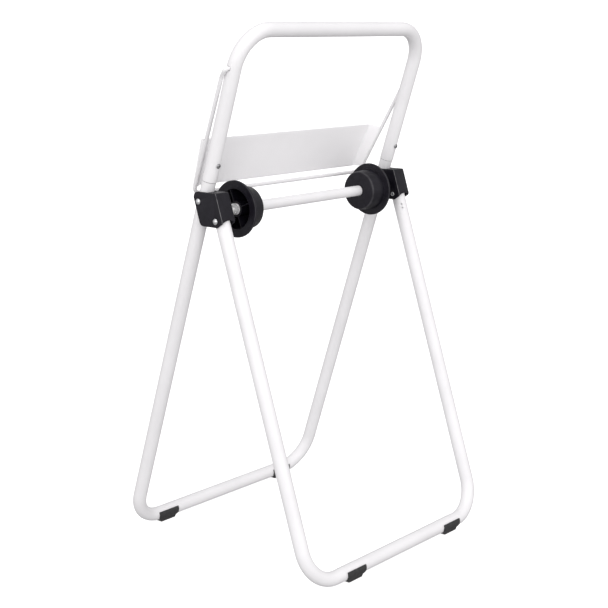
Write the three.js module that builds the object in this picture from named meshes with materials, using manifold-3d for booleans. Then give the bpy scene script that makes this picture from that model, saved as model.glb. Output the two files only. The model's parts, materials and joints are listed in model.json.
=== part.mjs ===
// Folding floor stand for a large roll of paper wipes, in millimetres with +Z up.
// X runs along the two floor bars, -Y is the side of the front legs, and Z = 0 is the floor.
// "Left" is the -X side. Two bent tube frames cross at a pair of moulded brackets, so that the
// rear frame folds flat against the front one. A lift-out spindle with two cones carries the
// roll, and a wire bail with a sheet tear plate swings from the handle.
import * as THREE from 'three';
import { mergeVertices } from 'three/addons/utils/BufferGeometryUtils.js';
import Module from 'manifold-3d';

const wasm = await Module();
wasm.setup();

// ---- Driving dimensions ----------------------------------------------------------------

const gap = 0.3; // clearance kept between pieces that touch
const tubeDiameter = 25;
const tubeWall = 1.5;
const tubeRadius = tubeDiameter / 2;
const bendRadius = 62.5; // centre line of every tube bend
const halfSpan = 236; // middle plane to the centre line of a leg
const halfDepth = 220; // middle plane to the centre line of a floor bar
const footBase = 3; // thickness of a foot under its bar
const barHeight = footBase + tubeRadius;

// The rear frame turns about this line, which runs along X through both brackets.
const pivot = { y: 14.3, z: 637.4 };
const nestGap = 3.3; // space between the legs when they are folded parallel
const legNest = tubeDiameter + nestGap;
const handleTop = 292; // pivot to the handle bar, along the rear legs
const seamAbove = 36; // pivot to the joint of rear leg and handle
const neckAbove = 11; // pivot to where the rear leg is drawn in
const neckDraw = 0.6; // how much the radius is drawn in above the bracket
const spigotLength = 48; // length of rear leg inside the handle tube
const handleScrewAbove = 66.7; // pivot to the handle screw, along the rear legs
const handleScrewDiameter = 4;
const handleScrewHeadDiameter = 8.4;
const handleScrewHeadHeight = 2.4;
const handleScrewLength = 8;

// Brackets: moulded channels, open at the back and the bottom.
const bracketWall = 2.5;
const bracketAbove = 16.3; // pivot up to the top face
const bracketBelow = 40.4; // pivot down to the bottom edge
const bracketBehindPivot = 9.2;
const frontWallBelow = 31.4; // pivot down to the front wall's lower edge
const frontWallArch = 3.5; // rise of the arch in that edge
const bracketCorner = 9; // rounding of the two rear corners
const wallCorner = 5; // rounding where the front wall ends
const legRivetBelow = 29.8; // pivot down to the rivet through the front leg

// Rivets: a domed head outside, and a hollow end rolled over inside.
const rivetDiameter = 6;
const rivetHeadDiameter = 10.5;
const rivetHeadHeight = 3.6;
const rivetBore = 3.5;
const rivetBoreDepth = 6;
const rivetRollDiameter = 8;
const rivetRollHeight = 1.6;

// Spindle: a tube with a stud and nut at each end, running in bushes that lift out.
const axle = { y: pivot.y - 20.3, z: pivot.z - 17.5 };
const axleDiameter = 19;
const axleWall = 1.5;
const studDiameter = 10;
const studInPlug = 18; // length of stud inside the tube's end
const plugLength = 22;
const nutFlats = 17;
const nutHeight = 8;
const nutChamfer = 0.8;
const nutToBush = 10.6; // bare stud between nut and bush
const bushWall = 1.7;
const bushFlange = 1.5; // thickness, and the flange's rim past the bush
const cradleLength = 15;
const cradleWall = 3;
const cradleArm = 12; // height of the cradle's arms over the axle
const studEndGap = 0.8;

// Roll cones: cup, flange, hub and ribs in one moulding. Lengths run inwards from the flange.
const coneFlangeRadius = 48.5;
const coneFlangeThickness = 4;
const coneCupRadius = 37.2;
const coneFaceRadius = 35.6;
const coneDepth = 36;
const coneChamfer = 3;
const coneWall = 3;
const coneHubWall = 3.2;
const coneBoreGap = 0.5; // loose enough to pass over the axle nut
const coneHubRecess = 2.3;
const coneRibs = 4;
const coneRibThickness = 2;
const coneRibAngle = 22; // first rib, in degrees above the forward direction
const coneInset = { left: -2, right: 9 }; // flange from the axle tube's end, inwards

// Wire bail and tear plate, measured from the hook hole down the rear leg and behind it.
const hookBelowBar = 63; // handle bar to hook hole
const wireDiameter = 7;
const wireRadius = wireDiameter / 2;
const hookHoleGap = 0.7;
const hookInside = 14; // length of wire inside the tube, from its wall
const hookStandoff = 7; // tube surface to the wire's centre at the bend
const hookBend = 5;
const wireBend = 14;
const jogDrop = 17.5;
const jogBehind = 10.6;
const bailDrop = 235; // hook hole to the cross rod
const bailBehind = 43;
const bailInset = 15; // cross rod's corner, inside the leg's centre line
const plateThickness = 1.2;
const plateTopDrop = 141;
const plateTopBehind = 51;
const plateTopInset = 13.4;
const plateBottomDrop = 228.5;
const plateBottomBehind = 57;
const plateBottomInset = 24;
const flangeTopDrop = 138; // where the plate's flange meets the wire
const flangeBottomDrop = 222;
const flangeCorner = 9;

// Feet: clips pressed up onto the floor bars, each at its own distance from the corner.
const footInset = { front: { left: 104, right: 91 }, rear: { left: 76, right: 80 } };
const footLength = 48;
const footWall = 2;
const footLip = 6.5; // how far the clip reaches above the bar's centre
const footBaseWidth = 20;
const footChamfer = 9;

// ---- Directions of the legs, worked out from the sizes above -----------------------------

const pivotRise = pivot.z - barHeight;
const rearLean = Math.atan2(halfDepth - pivot.y, pivotRise);
const frontReachToPivot = Math.hypot(halfDepth + pivot.y, pivotRise);
const frontLean = Math.atan2(halfDepth + pivot.y, pivotRise) - Math.asin(legNest / frontReachToPivot);
const pivotReach = Math.hypot(halfDepth - pivot.y, pivotRise);
const handleReach = pivotReach + handleTop;
const hookReach = handleReach - hookBelowBar;

// A point by its distance along the rear legs from the floor bar, and behind their centre line.
function rearPoint(x, along, behind) {
  const s = Math.sin(rearLean);
  const c = Math.cos(rearLean);
  return new THREE.Vector3(x, halfDepth - along * s + behind * c, barHeight + along * c + behind * s);
}

// A point by its distance along the front legs from the floor bar, and ahead of their centre line.
function frontPoint(x, along, ahead) {
  const s = Math.sin(frontLean);
  const c = Math.cos(frontLean);
  return new THREE.Vector3(x, -halfDepth + along * s - ahead * c, barHeight + along * c + ahead * s);
}

// ---- Solids: joining, cutting and placing --------------------------------------------------

function toSolid(geometry) {
  const bare = geometry.clone();
  bare.deleteAttribute('normal');
  bare.deleteAttribute('uv');
  const merged = mergeVertices(bare, 1e-4);
  return new wasm.Manifold(new wasm.Mesh({
    numProp: 3,
    vertProperties: new Float32Array(merged.attributes.position.array),
    triVerts: new Uint32Array(merged.index.array),
  }));
}

function toGeometry(solid) {
  const mesh = solid.getMesh();
  const geometry = new THREE.BufferGeometry();
  geometry.setAttribute('position', new THREE.BufferAttribute(mesh.vertProperties, 3));
  geometry.setIndex(new THREE.BufferAttribute(mesh.triVerts, 1));
  geometry.computeVertexNormals();
  return geometry;
}

function fuse(...pieces) {
  return toGeometry(pieces.map(toSolid).reduce((whole, piece) => whole.add(piece)));
}

function cut(body, ...tools) {
  return toGeometry(tools.map(toSolid).reduce((whole, tool) => whole.subtract(tool), toSolid(body)));
}

function common(first, second) {
  return toGeometry(toSolid(first).intersect(toSolid(second)));
}

// A line of straight runs with a round bend at each inner corner, sampled only where it turns.
class BentLine extends THREE.Curve {
  constructor(corners, radii, bendSteps) {
    super();
    this.stations = [];
    corners.forEach((corner, i) => {
      const before = corners[i - 1];
      const after = corners[i + 1];
      if (!before || !after) {
        const along = after ? after.clone().sub(corner) : corner.clone().sub(before);
        this.stations.push({ point: corner.clone(), tangent: along.normalize() });
        return;
      }
      const into = corner.clone().sub(before).normalize();
      const out = after.clone().sub(corner).normalize();
      const turn = into.angleTo(out);
      const radius = radii[i - 1];
      const start = corner.clone().addScaledVector(into, -radius * Math.tan(turn / 2));
      const inward = out.clone().addScaledVector(into, -into.dot(out)).normalize();
      const centre = start.clone().addScaledVector(inward, radius);
      const steps = Math.max(2, Math.round(bendSteps * turn / (Math.PI / 2)));
      for (let k = 0; k <= steps; k += 1) {
        const angle = turn * k / steps;
        const c = Math.cos(angle);
        const s = Math.sin(angle);
        const tangent = into.clone().multiplyScalar(c).addScaledVector(inward, s);
        const spoke = into.clone().multiplyScalar(s).addScaledVector(inward, -c);
        this.stations.push({ point: centre.clone().addScaledVector(spoke, radius), tangent });
      }
    });
    this.steps = this.stations.length - 1;
  }

  getUtoTmapping(u) {
    return u;
  }

  getPoint(t, target = new THREE.Vector3()) {
    return target.copy(this.stations[Math.round(t * this.steps)].point);
  }

  getTangent(t, target = new THREE.Vector3()) {
    return target.copy(this.stations[Math.round(t * this.steps)].tangent);
  }
}

// A round bar or tube along a bent line; an inner radius of 0 makes it solid. Sides is even.
function roundAlong(line, outer, inner, sides) {
  const section = new THREE.Shape().absarc(0, 0, outer, 0, 2 * Math.PI);
  if (inner > 0) {
    section.holes.push(new THREE.Path().absarc(0, 0, inner, 0, 2 * Math.PI, true));
  }
  return new THREE.ExtrudeGeometry(section, {
    steps: line.steps, extrudePath: line, curveSegments: sides / 2, bevelEnabled: false,
  });
}

function rodBetween(from, to, radius, sides) {
  return roundAlong(new BentLine([from, to], [], 1), radius, 0, sides);
}

// A rod along X through a point given by its y and z.
function rodX(at, x0, x1, radius, sides) {
  return rodBetween(new THREE.Vector3(x0, at.y, at.z), new THREE.Vector3(x1, at.y, at.z), radius, sides);
}

// A turned piece whose axis runs along X. Profile points are [radius, distance], and the
// distance grows away from the middle plane for side = 1 or -1, starting at |x| = start.
function turnedX(profile, at, start, side, segments) {
  const points = profile.map(([radius, distance]) => new THREE.Vector2(radius, distance));
  const geometry = new THREE.LatheGeometry(points, segments);
  geometry.rotateZ(-side * Math.PI / 2);
  geometry.translate(side * start, at.y, at.z);
  return geometry;
}

// A flat outline with rounded corners, from [a, b] points and one radius each.
function roundedOutline(points, radii) {
  const shape = new THREE.Shape();
  points.forEach(([a, b], i) => {
    const corner = new THREE.Vector2(a, b);
    const before = new THREE.Vector2(...points[(i + points.length - 1) % points.length]).sub(corner);
    const after = new THREE.Vector2(...points[(i + 1) % points.length]).sub(corner);
    const turn = Math.PI - Math.acos(before.dot(after) / before.length() / after.length());
    const setback = radii[i] * Math.tan(turn / 2);
    const start = corner.clone().addScaledVector(before.normalize(), setback);
    const end = corner.clone().addScaledVector(after.normalize(), setback);
    if (i === 0) {
      shape.moveTo(start.x, start.y);
    } else {
      shape.lineTo(start.x, start.y);
    }
    if (setback > 0) {
      shape.quadraticCurveTo(a, b, end.x, end.y);
    }
  });
  shape.closePath();
  return shape;
}

// An outline in the (y, z) plane, extruded along X from x0 to x1.
function extrudeX(shape, x0, x1) {
  const geometry = new THREE.ExtrudeGeometry(shape, {
    depth: x1 - x0, curveSegments: 5, bevelEnabled: false,
  });
  geometry.applyMatrix4(new THREE.Matrix4().makeBasis(
    new THREE.Vector3(0, 1, 0), new THREE.Vector3(0, 0, 1), new THREE.Vector3(1, 0, 0),
  ));
  geometry.translate(x0, 0, 0);
  return geometry;
}

// A flat sheet of even thickness with the given corners, which lie in one plane.
function sheet(corners, radii, thickness) {
  const origin = corners[0];
  const u = corners[1].clone().sub(origin).normalize();
  const normal = u.clone().cross(corners[2].clone().sub(origin)).normalize();
  const v = normal.clone().cross(u);
  const flat = corners.map((corner) => {
    const arm = corner.clone().sub(origin);
    return [arm.dot(u), arm.dot(v)];
  });
  const geometry = new THREE.ExtrudeGeometry(roundedOutline(flat, radii), {
    depth: thickness, curveSegments: 5, bevelEnabled: false,
  });
  geometry.translate(0, 0, -thickness / 2);
  geometry.applyMatrix4(new THREE.Matrix4().makeBasis(u, v, normal).setPosition(origin));
  return geometry;
}

// ---- Frames --------------------------------------------------------------------------------

const tubeSides = 28;
const bendSteps = 8;
const sides = { left: -1, right: 1 };
const legRivet = frontPoint(0, (pivotRise - legRivetBelow) / Math.cos(frontLean), 0);
const bracketTop = pivot.z + bracketAbove;
const holeRadius = rivetDiameter / 2 + gap;

// The front legs stop just short of the rear legs and of the bracket's roof.
function frontLegReach() {
  const lean = frontLean + rearLean;
  const perpendicular = tubeRadius + gap;
  const toRearLeg = ((legNest - tubeRadius) * Math.cos(lean) - perpendicular) / Math.sin(lean);
  const besidePivot = frontReachToPivot * Math.cos(Math.asin(legNest / frontReachToPivot));
  const roof = bracketTop - bracketWall - 2 * gap - barHeight;
  const toRoof = (roof - tubeRadius * Math.sin(frontLean)) / Math.cos(frontLean);
  return Math.min(besidePivot + toRearLeg - gap, toRoof);
}

function frameLine(place, reach) {
  const corners = [
    place(-halfSpan, reach, 0), place(-halfSpan, 0, 0), place(halfSpan, 0, 0), place(halfSpan, reach, 0),
  ];
  return new BentLine(corners, [bendRadius, bendRadius], bendSteps);
}

function acrossBothLegs(at, radius) {
  const reach = halfSpan + tubeDiameter;
  return rodX(at, -reach, reach, radius, 16);
}

function frontLegFrame() {
  const line = frameLine(frontPoint, frontLegReach());
  const tube = roundAlong(line, tubeRadius, tubeRadius - tubeWall, tubeSides);
  return cut(tube, acrossBothLegs(legRivet, holeRadius));
}

// The drawn-in neck shows between bracket and handle, and the spigot is inside the handle tube.
function rearLegNeck(side) {
  const neckRadius = tubeRadius - neckDraw;
  const spigotRadius = tubeRadius - tubeWall - gap;
  const boreRadius = spigotRadius - tubeWall;
  const from = neckAbove - 4;
  const profile = [
    [boreRadius, from], [neckRadius, from], [neckRadius, seamAbove - gap],
    [spigotRadius, seamAbove - gap], [spigotRadius, seamAbove + spigotLength],
    [boreRadius, seamAbove + spigotLength], [boreRadius, from],
  ];
  const neck = new THREE.LatheGeometry(profile.map((p) => new THREE.Vector2(...p)), tubeSides);
  neck.rotateX(Math.PI / 2 + rearLean);
  const base = rearPoint(side * halfSpan, pivotReach, 0);
  neck.translate(base.x, base.y, base.z);
  return neck;
}

function handleScrewHole(side) {
  const along = pivotReach + handleScrewAbove;
  const front = rearPoint(side * halfSpan, along, -2 * tubeRadius);
  return rodBetween(front, rearPoint(side * halfSpan, along, 0), handleScrewDiameter / 2 + gap, 12);
}

function rearLegFrame() {
  const line = frameLine(rearPoint, pivotReach + neckAbove);
  const tube = roundAlong(line, tubeRadius, tubeRadius - tubeWall, tubeSides);
  const whole = fuse(tube, rearLegNeck(-1), rearLegNeck(1));
  return cut(whole, acrossBothLegs(pivot, holeRadius), handleScrewHole(-1), handleScrewHole(1));
}

function handle() {
  const start = pivotReach + seamAbove;
  const corners = [
    rearPoint(-halfSpan, start, 0), rearPoint(-halfSpan, handleReach, 0),
    rearPoint(halfSpan, handleReach, 0), rearPoint(halfSpan, start, 0),
  ];
  const line = new BentLine(corners, [bendRadius, bendRadius], bendSteps);
  const tube = roundAlong(line, tubeRadius, tubeRadius - tubeWall, tubeSides);
  const hook = rearPoint(0, hookReach, 0);
  const holes = Object.values(sides).map((side) => {
    const [x0, x1] = [side * halfSpan, side * (halfSpan + tubeDiameter)].sort((a, b) => a - b);
    return rodX(hook, x0, x1, wireRadius + hookHoleGap, 16);
  });
  return cut(tube, ...holes, handleScrewHole(-1), handleScrewHole(1));
}

function handleScrew(side) {
  const shank = handleScrewDiameter / 2;
  const head = handleScrewHeadDiameter / 2;
  const profile = [
    [0, -handleScrewLength], [shank, -handleScrewLength], [shank, 0],
    [head, 0], [head, 0.8], [0.75 * head, 0.8 * handleScrewHeadHeight],
    [0.3 * head, handleScrewHeadHeight], [0, handleScrewHeadHeight],
  ];
  const screw = new THREE.LatheGeometry(profile.map((p) => new THREE.Vector2(...p)), 16);
  screw.rotateX(Math.PI / 2 + rearLean + Math.PI / 2);
  const seat = rearPoint(side * halfSpan, pivotReach + handleScrewAbove, -tubeRadius - gap);
  screw.translate(seat.x, seat.y, seat.z);
  return screw;
}

// ---- Feet ----------------------------------------------------------------------------------

// A clip with a flat base, open upwards, with both ends cut away underneath.
function foot(side, barY, inset, place) {
  const outer = tubeRadius + gap + footWall;
  const lipAngle = Math.asin(footLip / outer);
  const baseAngle = Math.asin(footBaseWidth / 2 / outer);
  const section = new THREE.Shape();
  section.absarc(barY, barHeight, outer, lipAngle, baseAngle - Math.PI / 2, true);
  section.lineTo(barY + footBaseWidth / 2, 0);
  section.lineTo(barY - footBaseWidth / 2, 0);
  section.absarc(barY, barHeight, outer, -Math.PI / 2 - baseAngle, -Math.PI - lipAngle, true);
  section.closePath();
  const middle = side * (halfSpan - inset);
  const x0 = middle - footLength / 2;
  const x1 = middle + footLength / 2;
  const block = new THREE.ExtrudeGeometry(section, {
    depth: footLength, curveSegments: 10, bevelEnabled: false,
  });
  block.applyMatrix4(new THREE.Matrix4().makeBasis(
    new THREE.Vector3(0, 1, 0), new THREE.Vector3(0, 0, 1), new THREE.Vector3(1, 0, 0),
  ));
  block.translate(x0, 0, 0);
  const bar = roundAlong(frameLine(place, 3 * bendRadius), tubeRadius + gap, 0, tubeSides);
  const wedges = [[x0, 1], [x1, -1]].map(([x, inward]) => {
    const wedge = new THREE.Shape();
    wedge.moveTo(x - inward, -1);
    wedge.lineTo(x + inward * (footChamfer - 1), -1);
    wedge.lineTo(x - inward, footChamfer + 2);
    wedge.closePath();
    const solid = new THREE.ExtrudeGeometry(wedge, { depth: 4 * tubeDiameter, bevelEnabled: false });
    solid.rotateX(Math.PI / 2);
    solid.translate(0, barY + 2 * tubeDiameter, 0);
    return solid;
  });
  return cut(block, bar, ...wedges);
}

// ---- Brackets ------------------------------------------------------------------------------

// Where a line parallel to the front legs, so far ahead of them, reaches a height.
function frontLineY(ahead, z) {
  const along = (z - barHeight - ahead * Math.sin(frontLean)) / Math.cos(frontLean);
  return frontPoint(0, along, ahead).y;
}

function bracket(side) {
  const bottom = pivot.z - bracketBelow;
  const wallBottom = pivot.z - frontWallBelow;
  const ahead = tubeRadius + gap + bracketWall;
  const behind = -(legNest + bracketBehindPivot);
  const profile = [
    [frontLineY(ahead, bracketTop), bracketTop],
    [frontLineY(behind, bracketTop), bracketTop],
    [frontLineY(behind, bottom), bottom],
    [frontLineY(0, bottom), bottom],
    [frontLineY(ahead, wallBottom), wallBottom],
  ];
  const inside = tubeRadius + gap;
  const outside = inside + bracketWall;
  const body = extrudeX(
    roundedOutline(profile, [2, bracketCorner, bracketCorner, 4, wallCorner]),
    side * halfSpan - outside, side * halfSpan + outside,
  );
  const roofBottom = bracketTop - bracketWall;
  const far = 3 * bracketBelow;
  const channel = extrudeX(roundedOutline([
    [frontLineY(inside, roofBottom), roofBottom],
    [frontLineY(inside, roofBottom) + far, roofBottom],
    [frontLineY(inside, roofBottom) + far, bottom - far],
    [frontLineY(inside, bottom - far), bottom - far],
  ], [1, 0, 0, 0]), side * halfSpan - inside, side * halfSpan + inside);
  // The rear leg passes the roof here, and swings backwards from it.
  const roofEdge = pivot.y - bracketAbove * Math.tan(rearLean) - (tubeRadius + 2 * gap) / Math.cos(rearLean);
  const roofSlot = extrudeX(roundedOutline([
    [roofEdge, roofBottom - 1], [roofEdge, bracketTop + 1],
    [roofEdge + far, bracketTop + 1], [roofEdge + far, roofBottom - 1],
  ], [0, 0, 0, 0]), side * halfSpan - inside, side * halfSpan + inside);
  const archRadius = (inside * inside + frontWallArch * frontWallArch) / 2 / frontWallArch;
  const archAt = wallBottom + frontWallArch - archRadius;
  const arch = rodBetween(
    new THREE.Vector3(side * halfSpan, frontLineY(ahead, wallBottom) - 2 * bracketWall, archAt),
    new THREE.Vector3(side * halfSpan, frontLineY(0, wallBottom), archAt), archRadius, 64,
  );
  const archKeep = extrudeX(roundedOutline([
    [frontLineY(ahead + 9, bottom), bottom - 1], [frontLineY(0, bottom), bottom - 1],
    [frontLineY(0, wallBottom), wallBottom + 2 * frontWallArch],
    [frontLineY(ahead + 9, wallBottom), wallBottom + 2 * frontWallArch],
  ], [0, 0, 0, 0]), side * halfSpan - inside, side * halfSpan + inside);
  const shell = cut(
    body, channel, roofSlot, common(arch, archKeep),
    acrossBothLegs(pivot, holeRadius), acrossBothLegs(legRivet, holeRadius),
  );
  return fuse(shell, cradle(side));
}

const bracketFace = halfSpan - tubeRadius - gap - bracketWall; // side towards the roll
const cradleFace = bracketFace - cradleLength;
const bushRadius = studDiameter / 2 + gap + bushWall;

// An open-topped seat for the spindle's bush, moulded onto the bracket's inner side.
function cradle(side) {
  const slot = bushRadius + gap;
  const outer = slot + cradleWall;
  const shape = new THREE.Shape();
  shape.moveTo(axle.y + outer, axle.z + cradleArm);
  shape.lineTo(axle.y + slot, axle.z + cradleArm);
  shape.lineTo(axle.y + slot, axle.z);
  shape.absarc(axle.y, axle.z, slot, 0, Math.PI, true);
  shape.lineTo(axle.y - slot, axle.z + cradleArm);
  shape.lineTo(axle.y - outer, axle.z + cradleArm);
  shape.lineTo(axle.y - outer, axle.z);
  shape.absarc(axle.y, axle.z, outer, Math.PI, 0, false);
  shape.closePath();
  const [x0, x1] = [side * cradleFace, side * (bracketFace + 1)].sort((a, b) => a - b);
  const seat = new THREE.ExtrudeGeometry(shape, { depth: x1 - x0, curveSegments: 12, bevelEnabled: false });
  seat.applyMatrix4(new THREE.Matrix4().makeBasis(
    new THREE.Vector3(0, 1, 0), new THREE.Vector3(0, 0, 1), new THREE.Vector3(1, 0, 0),
  ));
  seat.translate(x0, 0, 0);
  return seat;
}

// ---- Rivets through brackets and legs ----------------------------------------------------------

function rivet(at, side) {
  const tip = bracketFace - gap - rivetRollHeight;
  const head = rivetHeadDiameter / 2;
  const shank = rivetDiameter / 2;
  const bore = rivetBore / 2;
  const roll = rivetRollDiameter / 2;
  const length = 2 * halfSpan - bracketFace + gap - tip;
  const profile = [
    [0, rivetBoreDepth], [bore, rivetBoreDepth], [bore, 0.5 * rivetRollHeight],
    [bore + 0.5, 0], [roll - 0.6, 0], [roll, 0.4 * rivetRollHeight], [roll - 0.3, rivetRollHeight],
    [shank, rivetRollHeight], [shank, length], [head, length], [head, length + 0.6],
    [0.92 * head, length + 0.45 * rivetHeadHeight], [0.68 * head, length + 0.8 * rivetHeadHeight],
    [0.36 * head, length + 0.96 * rivetHeadHeight], [0, length + rivetHeadHeight],
  ];
  return turnedX(profile, at, tip, side, 20);
}

// ---- Spindle ---------------------------------------------------------------------------------

const bushFlangeFace = cradleFace - gap - bushFlange;
const nutOuterFace = bushFlangeFace - nutToBush;
const nutInnerFace = nutOuterFace - nutHeight;
const axleEnd = nutInnerFace - gap;
const axleBore = axleDiameter / 2 - axleWall;

function axleTube() {
  const line = new BentLine([
    new THREE.Vector3(-axleEnd, axle.y, axle.z), new THREE.Vector3(axleEnd, axle.y, axle.z),
  ], [], 1);
  return roundAlong(line, axleDiameter / 2, axleBore, 32);
}

function ringX(inner, outer, start, length, side, segments) {
  const profile = [
    [inner, 0], [outer, 0], [outer, length], [inner, length], [inner, 0],
  ];
  return turnedX(profile, axle, start, side, segments);
}

function axlePlug(side) {
  return ringX(studDiameter / 2 + gap, axleBore - gap, axleEnd - plugLength, plugLength, side, 24);
}

function axleStud(side) {
  const start = axleEnd - studInPlug;
  const tip = bracketFace - studEndGap;
  const radius = studDiameter / 2;
  const length = tip - start;
  return turnedX([
    [0, 0], [radius - 1, 0], [radius, 1], [radius, length - 1], [radius - 1, length], [0, length],
  ], axle, start, side, 24);
}

// The nut has two corners straight up and down, and is turned down to a chamfer at its faces.
function axleNut(side) {
  const corner = nutFlats / 2 / Math.cos(Math.PI / 6);
  const [x0, x1] = [side * nutInnerFace, side * nutOuterFace].sort((a, b) => a - b);
  const hexagon = [0, 1, 2, 3, 4, 5].map((k) => {
    const angle = Math.PI / 2 + k * Math.PI / 3;
    return [axle.y + corner * Math.cos(angle), axle.z + corner * Math.sin(angle)];
  });
  const body = extrudeX(roundedOutline(hexagon, hexagon.map(() => 0)), x0, x1);
  const chamfered = turnedX([
    [0, 0], [nutFlats / 2, 0], [corner + 0.1, nutChamfer], [corner + 0.1, nutHeight - nutChamfer],
    [nutFlats / 2, nutHeight], [0, nutHeight],
  ], axle, nutInnerFace, side, 24);
  return cut(common(body, chamfered), rodX(axle, x0 - 1, x1 + 1, studDiameter / 2 + gap, 24));
}

function axleBush(side) {
  const bore = studDiameter / 2 + gap;
  const length = bracketFace - studEndGap - bushFlangeFace;
  const rim = bushRadius + bushFlange;
  return turnedX([
    [bore, 0], [rim, 0], [rim, bushFlange], [bushRadius, bushFlange], [bushRadius, length],
    [bore, length], [bore, 0],
  ], axle, bushFlangeFace, side, 24);
}

// The cone's profile, with distances measured inwards from the flange's outer face.
function rollCone(side, inset) {
  const flangeFace = axleEnd - inset;
  const bore = axleDiameter / 2 + coneBoreGap;
  const hub = bore + coneHubWall;
  const backOfFace = coneDepth - coneWall;
  const inwards = [
    [bore, coneHubRecess], [hub, coneHubRecess], [hub, backOfFace],
    [coneFaceRadius - coneWall, backOfFace], [coneCupRadius - coneWall, 0],
    [coneFlangeRadius - 1, 0], [coneFlangeRadius, 1], [coneFlangeRadius, coneFlangeThickness - 1],
    [coneFlangeRadius - 1, coneFlangeThickness], [coneCupRadius, coneFlangeThickness],
    [coneFaceRadius, coneDepth - coneChamfer], [coneFaceRadius - coneChamfer, coneDepth],
    [bore, coneDepth], [bore, coneHubRecess],
  ];
  const cup = turnedX(inwards, axle, flangeFace, side, 40);
  // The profile above runs inwards, so the turned piece is mirrored about its flange face.
  cup.translate(-side * flangeFace, 0, 0);
  cup.rotateZ(Math.PI);
  cup.translate(side * flangeFace, 2 * axle.y, 0);
  const ribs = [];
  for (let k = 0; k < coneRibs; k += 1) {
    const angle = Math.PI * coneRibAngle / 180 + 2 * Math.PI * k / coneRibs;
    const inner = hub - 1;
    const outer = coneFaceRadius - coneWall + 1;
    const depth = backOfFace - coneHubRecess;
    const rib = new THREE.BoxGeometry(depth, outer - inner, coneRibThickness);
    rib.translate(side * (flangeFace - coneHubRecess - depth / 2 - 0.5), (inner + outer) / 2, 0);
    rib.rotateX(Math.PI - angle);
    rib.translate(0, axle.y, axle.z);
    ribs.push(rib);
  }
  return fuse(cup, ...ribs);
}

// ---- Bail and tear plate ---------------------------------------------------------------------

const jogX = halfSpan + tubeRadius + 0.5;
const bailX = halfSpan - bailInset;

// A point on the straight arm of the bail, by its drop below the hook hole.
function armPoint(side, drop) {
  const t = (drop - jogDrop) / (bailDrop - jogDrop);
  const behind = jogBehind + t * (bailBehind - jogBehind);
  return rearPoint(side * (jogX + t * (bailX - jogX)), hookReach - drop, behind);
}

function tearBail() {
  const hookX = halfSpan + tubeRadius + hookStandoff;
  const half = (side) => [
    rearPoint(side * (halfSpan + tubeRadius - hookInside), hookReach, 0),
    rearPoint(side * hookX, hookReach, 0),
    armPoint(side, jogDrop),
    armPoint(side, bailDrop),
  ];
  const corners = [...half(-1), ...half(1).reverse()];
  const radii = [hookBend, wireBend, wireBend, wireBend, wireBend, hookBend];
  return roundAlong(new BentLine(corners, radii, 6), wireRadius, 0, 16);
}

// The plate's face stands between two folds; its flanges reach forward to the wire arms.
function tearPlate() {
  const top = (side) => rearPoint(
    side * (halfSpan - plateTopInset), hookReach - plateTopDrop, plateTopBehind,
  );
  const low = (side) => rearPoint(
    side * (halfSpan - plateBottomInset), hookReach - plateBottomDrop, plateBottomBehind,
  );
  const face = sheet([low(-1), low(1), top(1), top(-1)], [1, 1, 1, 1], plateThickness);
  const standoff = wireRadius + gap + plateThickness / 2;
  const pieces = [face];
  Object.values(sides).forEach((side) => {
    const fold = [low(side), top(side)];
    const across = armPoint(side, flangeTopDrop).sub(fold[1]);
    const down = fold[0].clone().sub(fold[1]);
    const inward = across.clone().cross(down).normalize();
    inward.multiplyScalar(-Math.sign(inward.x) * side * standoff);
    const edge = [armPoint(side, flangeTopDrop), armPoint(side, flangeBottomDrop)].map((p) => p.add(inward));
    const normal = edge[0].clone().sub(fold[1]).cross(down).normalize();
    const slip = edge[1].clone().sub(fold[1]).dot(normal);
    edge[1].addScaledVector(normal, -slip);
    pieces.push(sheet([fold[0], fold[1], edge[0], edge[1]], [0, 0, flangeCorner, 3], plateThickness));
    pieces.push(rodBetween(fold[0], fold[1], plateThickness / 2, 8));
  });
  return fuse(...pieces);
}

// ---- The assembly ------------------------------------------------------------------------------

const finishes = {
  whitePaint: { color: 0xf2f2f0, roughness: 0.35, metalness: 0.0 },
  blackPlastic: { color: 0x1c1c1e, roughness: 0.55, metalness: 0.0 },
  blackRubber: { color: 0x1a1a1b, roughness: 0.8, metalness: 0.0 },
  zincSteel: { color: 0xc9cacc, roughness: 0.3, metalness: 0.9 },
};

const stand = new THREE.Group();

function add(name, geometry, finish) {
  const mesh = new THREE.Mesh(geometry, new THREE.MeshStandardMaterial(finishes[finish]));
  mesh.name = name;
  stand.add(mesh);
}

add('front_leg_frame', frontLegFrame(), 'whitePaint');
add('rear_leg_frame', rearLegFrame(), 'whitePaint');
add('handle', handle(), 'whitePaint');
add('axle_tube', axleTube(), 'whitePaint');
add('tear_bail', tearBail(), 'whitePaint');
add('tear_plate', tearPlate(), 'whitePaint');
Object.entries(sides).forEach(([word, side]) => {
  add(`front_foot_${word}`, foot(side, -halfDepth, footInset.front[word], frontPoint), 'blackRubber');
  add(`rear_foot_${word}`, foot(side, halfDepth, footInset.rear[word], rearPoint), 'blackRubber');
  add(`bracket_${word}`, bracket(side), 'blackPlastic');
  add(`pivot_rivet_${word}`, rivet(pivot, side), 'zincSteel');
  add(`leg_rivet_${word}`, rivet(legRivet, side), 'zincSteel');
  add(`handle_screw_${word}`, handleScrew(side), 'zincSteel');
  add(`axle_plug_${word}`, axlePlug(side), 'zincSteel');
  add(`axle_stud_${word}`, axleStud(side), 'zincSteel');
  add(`axle_nut_${word}`, axleNut(side), 'zincSteel');
  add(`axle_bush_${word}`, axleBush(side), 'blackPlastic');
  add(`roll_cone_${word}`, rollCone(side, coneInset[word]), 'blackPlastic');
});

export default stand;
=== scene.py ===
import json
import math

import bmesh
import bpy
from mathutils import Matrix, Vector


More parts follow.
